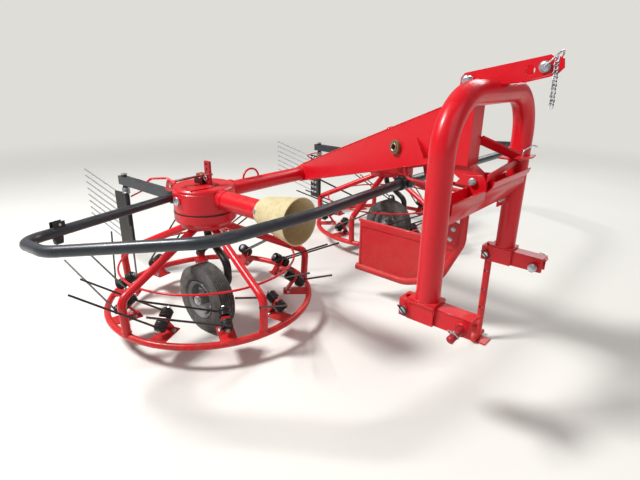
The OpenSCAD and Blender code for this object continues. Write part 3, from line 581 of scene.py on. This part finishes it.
# The gearcases carry a black seal under the drum, a zinc oil plug with a hexagon socket, a cover
# plate, and the height adjuster's spring housing with its lever and a cross pin in the bar.
for side, hand in ((-1, "right"), (1, "left")):
    axle = Vector((0, side * half, 0))
    made = bmesh.new()
    turned(made, axle + Vector((0, 0, 496)), (0, 0, 1),
           ((0, 126), (0, 128.2), (4.5, 128.2), (4.5, 126)), 1, 72, True)
    turned(made, axle + Vector((0, side * 131, 552)), (0, side, 0), ((0, 18), (4.6, 18), (6, 16.6), (6, 12),
                                                                   (4.8, 11.4), (4.8, 0.5)), 2, 24)
    # cover plate, spring housing, its brown block and the lever: corners, thickness, finish, edge
    for corners, thick, slot, edge in (
            (((66, -108, 600.5), (76, -36, 600.5), (44, 44, 600.5), (-60, 40, 600.5), (-52, -62, 600.5)),
             6, 0, 1.5),
            (((-34, -22, 618), (19, -22, 618), (19, 22, 618), (-34, 22, 618)), 28, 1, 2),
            (((-28, -15, 638), (14, -15, 638), (14, 15, 638), (-28, 15, 638)), 14, 3, 2),
            (((10, -16, 641), (22, -28, 640), (-22, -116, 626), (-35, -108, 626)), 7, 1, 1.5)):
        plate(made, [axle + Vector(c) for c in corners], thick, slot, edge)
    tube(made, [axle + Vector((37, -17, 644)), axle + Vector((37, 19, 644))], 5.2, 2)
    tube(made, circle(axle + Vector((37, -15, 634)), (0, 1, 0), 10, 18), 1.6, 2, 6, True)
    piece(f"gearcase_fittings_{hand}", made, [red, black, zinc, brown])


# Welds run round the frame's joints and along the boom's upper and lower edges: hand-laid ripples
# under the same red.
head_x, head_y, leg_y, gear_z = 1048, -381, 294, 556
boom_length, boom_half = 985, 38
boom_turn = math.atan2(-319, 932)
boom_run = Vector((math.cos(boom_turn), math.sin(boom_turn), 0))
boom_out = Vector((math.sin(boom_turn), -math.cos(boom_turn), 0))
bush_s, bush_z = 755, 790.9


def boom_at(s, out, z):
    """A place s along the boom and out to the right of its middle plane."""
    return Vector((0, -62, z)) + boom_run * s + boom_out * out


def boom_low(s):
    """Height of the boom's lower edge."""
    return 514.5 + 260 * s / boom_length


def boom_high(s):
    """Height of the boom's upper edge."""
    return 597.5 + 353 * s / boom_length


seams = []
for side in (-1, 1):
    wall = side * boom_half
    seams += bead_round((0, side * 542.5, gear_z), (0, -side, 0), 34.2)
    seams += bead_round((head_x, head_y + side * leg_y, 427.5), (0, 0, 1), 36)
    seams += bead_round(boom_at(bush_s, side * 38.5, bush_z), boom_out * side, 25)
    seams += bead_along(boom_at(52, wall, boom_low(52)), boom_at(975, wall, boom_low(975)),
                        boom_out * side - Vector((0, 0, 1)))
    seams += bead_along(boom_at(36, wall, boom_high(36)), boom_at(975, wall, boom_high(975)),
                        boom_out * side + Vector((0, 0, 1)))
seams += bead_round((125, -half, gear_z), (1, 0, 0), 40)
seams += bead_round((0, -112.5, gear_z), (0, -1, 0), 34)
seams += bead_round((0, -11.5, gear_z), (0, 1, 0), 34)
for y, front_top in ((-635, 712), (-127, 704)):
    for x, z0, z1 in ((1014, 655, 708), (1082, 690, front_top)):
        seams += bead_along((x, y, z0), (x, y, z1), (0, 0, 1))
repeats("frame_welds", seams, weld_ripple, red, spin=6.0, vary=0.3)


# The boom has a brown bearing liner with a snap ring in its bush, a gusset beside it, a lug and
# a stop on its back, a collar each side of its foot and two stays down to the channel.
made = bmesh.new()
for side in (-1, 1):
    turned(made, boom_at(bush_s, side * 36, bush_z), boom_out * side,
           ((0, 24), (0, 26.5), (12, 26.5), (14.5, 25), (14.5, 16), (0, 15.2)), 1, 32, True)
    turned(made, boom_at(bush_s, side * 20, bush_z), boom_out * side,
           ((0, 11), (0, 15), (31.4, 15), (32.6, 14), (32.6, 11)), 1, 32, True)
    tube(made, circle(boom_at(bush_s, side * 52, bush_z), boom_out, 13.6, 28), 1.5, 2, 8, True)
for y, way in ((-100, -1), (-24, 1)):
    turned(made, (0, y, gear_z), (0, way, 0),
           ((0, 33), (0, 38.5), (11, 38.5), (12.5, 37), (12.5, 33)), 0, 40, True)
plate(made, [boom_at(861, 36, 836), boom_at(861, 40, 832), boom_at(929, 64, 778), boom_at(921, 36, 783)], 6)
plate(made, [boom_at(s, 0, boom_high(s) + h) for s, h in ((640, -3), (682, -3), (676, 14), (650, 14))], 12)
plate(made, [boom_at(s, q, boom_high(s) + 2) for s, q in ((519, -14), (553, -14), (553, 14), (519, 14))], 8)
plate(made, [boom_at(s, q, boom_low(s) - 3) for s, q in ((775, -30), (890, -30), (890, 30), (775, 30))], 8)
# The stays are in the darker copy of the red, which is painted shade.
for y, s in ((-30, 800), (30, 835)):
    foot = boom_at(s, -y, boom_low(s))
    tube(made, rounded([foot, foot + Vector((10, 0, -42)), (1010, head_y + y, 690)], 30), 7, 3)
hoop = [(0, -433 - 44 * math.cos(k * math.pi / 12), 588 + 40 * math.sin(k * math.pi / 12)) for k in range(13)]
tube(made, [(0, -477, 580)] + hoop + [(0, -389, 580)], 4.5)
piece("boom_fittings", made, [red, brown, zinc, shaded_red])


# The headstock has a brace from the post to a flange at the left leg, washers and spring clips on
# its pins, bolts at the channel's ends, and a short galvanised chain for the top pin.
plate_front, post_x = 1192, 1008
post_pin, link_pin, low_pin = (post_x - 34, 1022), (plate_front - 6, 1060), (post_x + 22, 727)
channel_ends = (-602, -160)
link = unit_mesh("chain_link", lambda made: tube(made, rounded(
    [(-4, 0, -7), (-4, 0, 7), (4, 0, 7), (4, 0, -7), (-4, 0, -7)], 4, 3)[:-1], 1.7, sides=6, loop=True))


def spring_clip(made, place, across, down, slot):
    """A bent wire clip through a pin's end, with its ring hanging below."""
    place, across, down = Vector(place), Vector(across), Vector(down)
    route = [place + across * a + down * d
             for a, d in ((-16, 0), (14, 0), (19, 9), (10, 17), (-2, 8), (-14, 12))]
    tube(made, rounded(route, 6, 4), 1.8, slot, 8)


made = bmesh.new()
plate(made, [(988, -343, 838), (1016, -343, 858), (1084, -180, 792), (1056, -180, 772)], 8, 0, 1.5)
plate(made, [(1012, -188, 770), (1082, -188, 770), (1100, -100, 770), (1092, -46, 770), (1012, -46, 770)],
      6, 0, 1.5)
tube(made, rounded([(1070, -120, 770), (1070, -120, 792), (1092, -92, 812), (1104, -84, 806)], 8), 2.6, 1)
for x, z in (post_pin, link_pin, low_pin):
    for side in (-1, 1):
        turned(made, (x, head_y + side * 40.4, z), (0, side, 0),
               ((0, 11), (1.6, 12.6), (3, 11), (3.4, 6), (3.2, 0.5)), 1)
spring_clip(made, (post_pin[0], head_y - 41, post_pin[1]), (0.5, 0, 0.85), (0.85, 0, -0.5), 1)
spring_clip(made, (link_pin[0], head_y + 42, link_pin[1]), (0.2, 0, 0.97), (0.97, 0, -0.2), 1)
bail = [(plate_front + x, head_y + y, z)
        for x, y, z in ((-6, -43, 1060), (20, -44, 1086), (26, -20, 1100), (20, 20, 1100), (12, 43, 1086),
                        (-6, 43, 1060))]
tube(made, rounded(bail, 14), 2.4, 1)
for y in channel_ends:
    plate(made, [(1030, y - 22, 598), (1030, y + 22, 598), (1030, y + 22, 646), (1030, y - 22, 646)],
          7, 0, 1.5)
piece("headstock_fittings", made, [red, zinc])

# The chain is hot-dip galvanised: the same zinc, but thicker, greyer and duller than the plated pins.
chain_top = Vector((plate_front + 24, head_y - 46, 1078))
galvanised = bright_steel("galvanised_chain", "#8f9296", "#64676b", 0.5)
links = [(chain_top + Vector((0.4 * k, 0, -9.6 * k)), (0.35 if k % 2 else 0, 0.35, 1)) for k in range(13)]
repeats("pin_chain", links, link, galvanised)


# The cross channel is folded from one sheet, open above. This one departs from the solid, whose
# front wall is tall all along: the photograph's front edge is low at the right half, and flares
# out into a pocket under a flat bar at the left half.
def channel_outline(y, top):
    """Cross section of the folded sheet: rear wall, floor, slope and front wall."""
    rows = ((-34, 710), (-34, 652), (-22, 640), (10, 640), (36, 686), (36, top), (31, top), (31, 688),
            (7, 645), (-20, 645), (-29, 654), (-29, 710))
    return [(head_x + x, y, z) for x, z in rows]


made = bmesh.new()
plate(made, channel_outline(-550, 714), 216)
plate(made, channel_outline(-275, 706), 334)
flare = [(1082, 704), (1092, 712), (1101, 724), (1106, 740)]
skin(made, [[at(x - q, y, z) for q, (x, z) in [(0, c) for c in flare] + [(4, c) for c in flare[::-1]]]
            for y in (-436, -420, -150, -124)])
plate(made, [(1084, -440, 740), (1056, -118, 746), (1056, -118, 768), (1084, -440, 762)], 6)
tray = piece("channel_tray", made, [red])
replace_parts(tray, "cross_channel")


# Each lower hitch bracket is folded plate: a wrapper with turned edges round the leg's foot. The
# arm is an upside-down channel with a round notch. The pins have collars and linch pin rings.
pin_x, pin_z = head_x + 120, 387
made = bmesh.new()
for side in (-1, 1):
    y = head_y + side * leg_y
    for q in (-1, 1):
        cheek = y + q * 31
        side_view = ((1000, 366), (1086, 366), (1086, 420), (1078, 428), (1000, 428))
        plate(made, [(x, cheek, z) for x, z in side_view], 6, 0, 1.2)
        turned(made, (pin_x, y + q * 24, pin_z), (0, q, 0), ((0, 20), (3.6, 20), (4.6, 18.8)), 0, 28)
    plate(made, [(1000, y - 34, 430), (1088, y - 34, 430), (1088, y + 34, 430), (1000, y + 34, 430)],
          6, 0, 1.2)
    plate(made, [(1085, y - 34, 402), (1085, y + 34, 402), (1085, y + 34, 430), (1085, y - 34, 430)],
          5, 0, 1.2)
    plate(made, [(1084, y - 26.5, 422), (1196, y - 26.5, 420), (1196, y + 26.5, 420), (1084, y + 26.5, 422)],
          3, 0, 1)
    tip = Vector((pin_x, y + side * (25 + 60 + 0.2), pin_z))
    turned(made, tip, (0, side, 0), ((0, 11), (5, 9.4), (9, 5)), 2, 24)
    tube(made, [tip + Vector((0, -side * 10, -19)), tip + Vector((0, -side * 10, 19))], 4, 1, 10)
    tube(made, circle(tip + Vector((0, -side * 9, 10)), (0.2, 0.6, 0.5), 17, 26), 1.7, 1, 8, True)
    turned(made, (pin_x, y - side * 38, pin_z), (0, -side, 0), ((0, 15), (4, 16), (12, 15), (13, 9)), 1, 24)
    lock = Vector((head_x - 54.5, y - 38, 393))
    turned(made, lock, (0, -1, 0), ((0, 11), (6, 11), (8, 9.6), (8.4, 4)), 1, 24)
    tube(made, circle(lock + Vector((2, -7, -2)), (0.3, 1, 0.15), 15, 24), 1.9, 3, 8, True)
    tube(made, [lock + Vector((-16, -8, 12)), lock + Vector((14, -9, -14))], 2.2, 3, 8)
# The pins' tips are in the darker copy of the red, which is painted shade.
piece("hitch_fittings", made, [red, zinc, shaded_red, black])


# The gates: a coil spring round each post, cap and clip on the swing pin, bolts that clamp the
# spring rods, and a bent red catch rod. A red bracket and hook sit where the arm leaves the drum.
def on_gate(side, x, y, z):
    """A place on the right gate, from its rotor's axis, mirrored for the left."""
    return Vector((x, side * half - side * y, z))


for side, hand in ((-1, "right"), (1, "left")):
    post = on_gate(side, -612, -40, 0)
    coil = [post + Vector((16.5 * math.cos(t), 16.5 * math.sin(t), 462 + t * 0.9))
            for t in (k * math.pi / 9 for k in range(100))]
    made = bmesh.new()
    tube(made, coil, 2.4, 1, 6)
    turned(made, post + Vector((0, 0, 555)), (0, 0, 1), ((0, 13), (1, 16), (4, 16), (5, 14), (7, 6)), 1, 20)
    catch = [on_gate(side, *c) for c in ((-606, -30, 490), (-612, 20, 492), (-612, 92, 486), (-612, 60, 462),
                                         (-612, -20, 440))]
    tube(made, rounded(catch, 16), 4, 2, 10)
    rod_turn = math.radians(188)
    rod_way = Vector((math.cos(rod_turn), -side * math.sin(rod_turn), 0))
    face = Vector((rod_way.y, -rod_way.x, 0)) * side
    piece(f"gate_fittings_{hand}", made, [black, zinc, red], f"gate_{hand}")
    heads = [(post + rod_way * q - face * 4.4 + Vector((0, 0, 446 - 36 * k)), -face)
             for k in range(8) for q in (34, 62)]
    repeats(f"gate_bolts_{hand}", heads, hexagon_bolt, zinc, f"gate_{hand}", spin=1.0)
    made = bmesh.new()
    bracket = ((-112, -52, 546), (-214, -52, 546), (-196, -52, 594), (-126, -52, 606))
    plate(made, [on_gate(side, *c) for c in bracket], 5, 0, 1.2)
    turned(made, on_gate(side, -160, -55, 576), (0, side, 0), ((0, 9), (6, 9), (7, 7)), 1, 6)
    hook = ((-130, -54, 590), (-180, -58, 607), (-236, -104, 604), (-252, -112, 588))
    tube(made, rounded([on_gate(side, *c) for c in hook], 14), 5, 0, 10)
    piece(f"gate_catch_{hand}", made, [red, zinc])


# Each hoop is one bent tube with a welded collar at its foot and a small black bracket near its
# outer bend, with a cross pin. The clamp under the boom is held by four bolts.
made = bmesh.new()
for side in (-1, 1):
    root = Vector((-90, side * (half + 52), 550))
    way = (Vector((85, side * 1400, 557)) - root).normalized()
    turned(made, root + way * 54, way, ((0, 17.1), (0, 26), (7, 26), (7, 17.1)), 0, 24, True)
    spot = root + way * 560
    beside = way.cross(Vector((0, 0, 1)))
    for q in (-9, 9):
        plate(made, [spot + way * s + beside * q + Vector((0, 0, z))
                     for s, z in ((-22, -12), (22, -12), (20, 34), (-20, 34))], 3.5, 1)
    stopper = ((-8, -40), (20, -40), (24, -10), (-12, -10))
    plate(made, [spot + way * s + Vector((0, 0, z)) for s, z in stopper], 16, 1, 3)
    tube(made, [spot - beside * 15 + Vector((0, 0, 25)), spot + beside * 15 + Vector((0, 0, 25))], 4, 2)
piece("hoop_clips", made, [grey, black, zinc])
clamp = Vector((727, -62 + 727 * math.tan(boom_turn), 660))
bolts = [(clamp + Vector((s * 25, 0, 13 * up)), (0, 0, up)) for up in (1, -1) for s in (-1, 1)]
repeats("hoop_bolts", bolts, hexagon_bolt, zinc, spin=1.0)


# The divider's sheet is stiffened by a lip on both faces under the rolled edge, with a knob at its
# rear end, and held to its tube by a bolted corner plate. The channel's end plates are bolted too.
sheet_y = -122
made = bmesh.new()
for q in (-4, 4):
    face = sheet_y + q
    plate(made, [(400, face, 372), (872, face, 372), (872, face, 398), (400, face, 398)], 4, 0, 1)
plate(made, [(800, -130, 396), (884, -130, 396), (884, -130, 486), (858, -130, 494), (812, -130, 470)],
      6, 0, 1.5)
turned(made, (390, sheet_y, 400), (1, 0, 0), ((0, 3), (1, 7), (14, 7), (15, 3)), 0, 16)
piece("divider_fittings", made, [scoured])
bolts = [((x, -133, z), (0, -1, 0)) for x, z in ((825, 450), (856, 462), (846, 418))]
bolts += [((1026, y + q, 622), (-1, 0, 0)) for y in channel_ends for q in (-12, 12)]
bolts += [((1034, y + q, 622), (1, 0, 0)) for y in channel_ends for q in (-12, 12)]
repeats("frame_bolts", bolts, hexagon_bolt, zinc, spin=1.0)


# The input shaft is the usual 35 mm stub with six splines and a groove for the yoke's catch, and
# the guard cone is held by a clip ring of the same plastic with three screws.
input_end, drum_r, stub_r = 372, 127, 17.45
stub = bmesh.new()
turned(stub, (drum_r + 14, -half, gear_z), (1, 0, 0),
       ((0, 18.9), (1, 19.9), (input_end - 146, 19.9), (input_end - 145, 18.9)), 0, 48)


def splined(x, depth):
    """One cross section of the splined stub: six teeth, depth millimetres high."""
    tooth = ((-0.34, 0), (-0.24, 1), (0, 1), (0.24, 1), (0.34, 0), (0.52, 0))
    rows = [(k * math.pi / 3 + q, stub_r if high else stub_r - depth) for k in range(6) for q, high in tooth]
    return [at(x, -half + r * math.cos(t), gear_z + r * math.sin(t)) for t, r in rows]


skin(stub, [splined(x, d) for x, d in ((input_end - 5, 2.7), (input_end + 60, 2.7), (input_end + 61, 3.2),
                                       (input_end + 85, 2.7), (input_end + 87.9, 2.9))])
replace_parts(piece("splined_stub", stub, [zinc], "input_shaft"), "input_shaft")
made = bmesh.new()
turned(made, (input_end - 1, -half, gear_z), (1, 0, 0),
       ((0, 46), (0, 50), (3, 51), (9, 51), (11, 49), (11, 46)), 0, 48, True)
turned(made, (drum_r + 16, -half, gear_z), (1, 0, 0), ((0, 39), (0, 41.2), (9, 41.2), (9, 39)), 1, 48, True)
piece("cone_clip", made, [cream, red])
screw_ring = Vector((input_end + 4, -half, gear_z))
heads = [(p, (p - screw_ring).normalized()) for p in circle(screw_ring, (1, 0, 0), 50.4, 3)]
repeats("cone_screws", heads, hexagon_bolt, zinc, spin=1.0, vary=0.0)
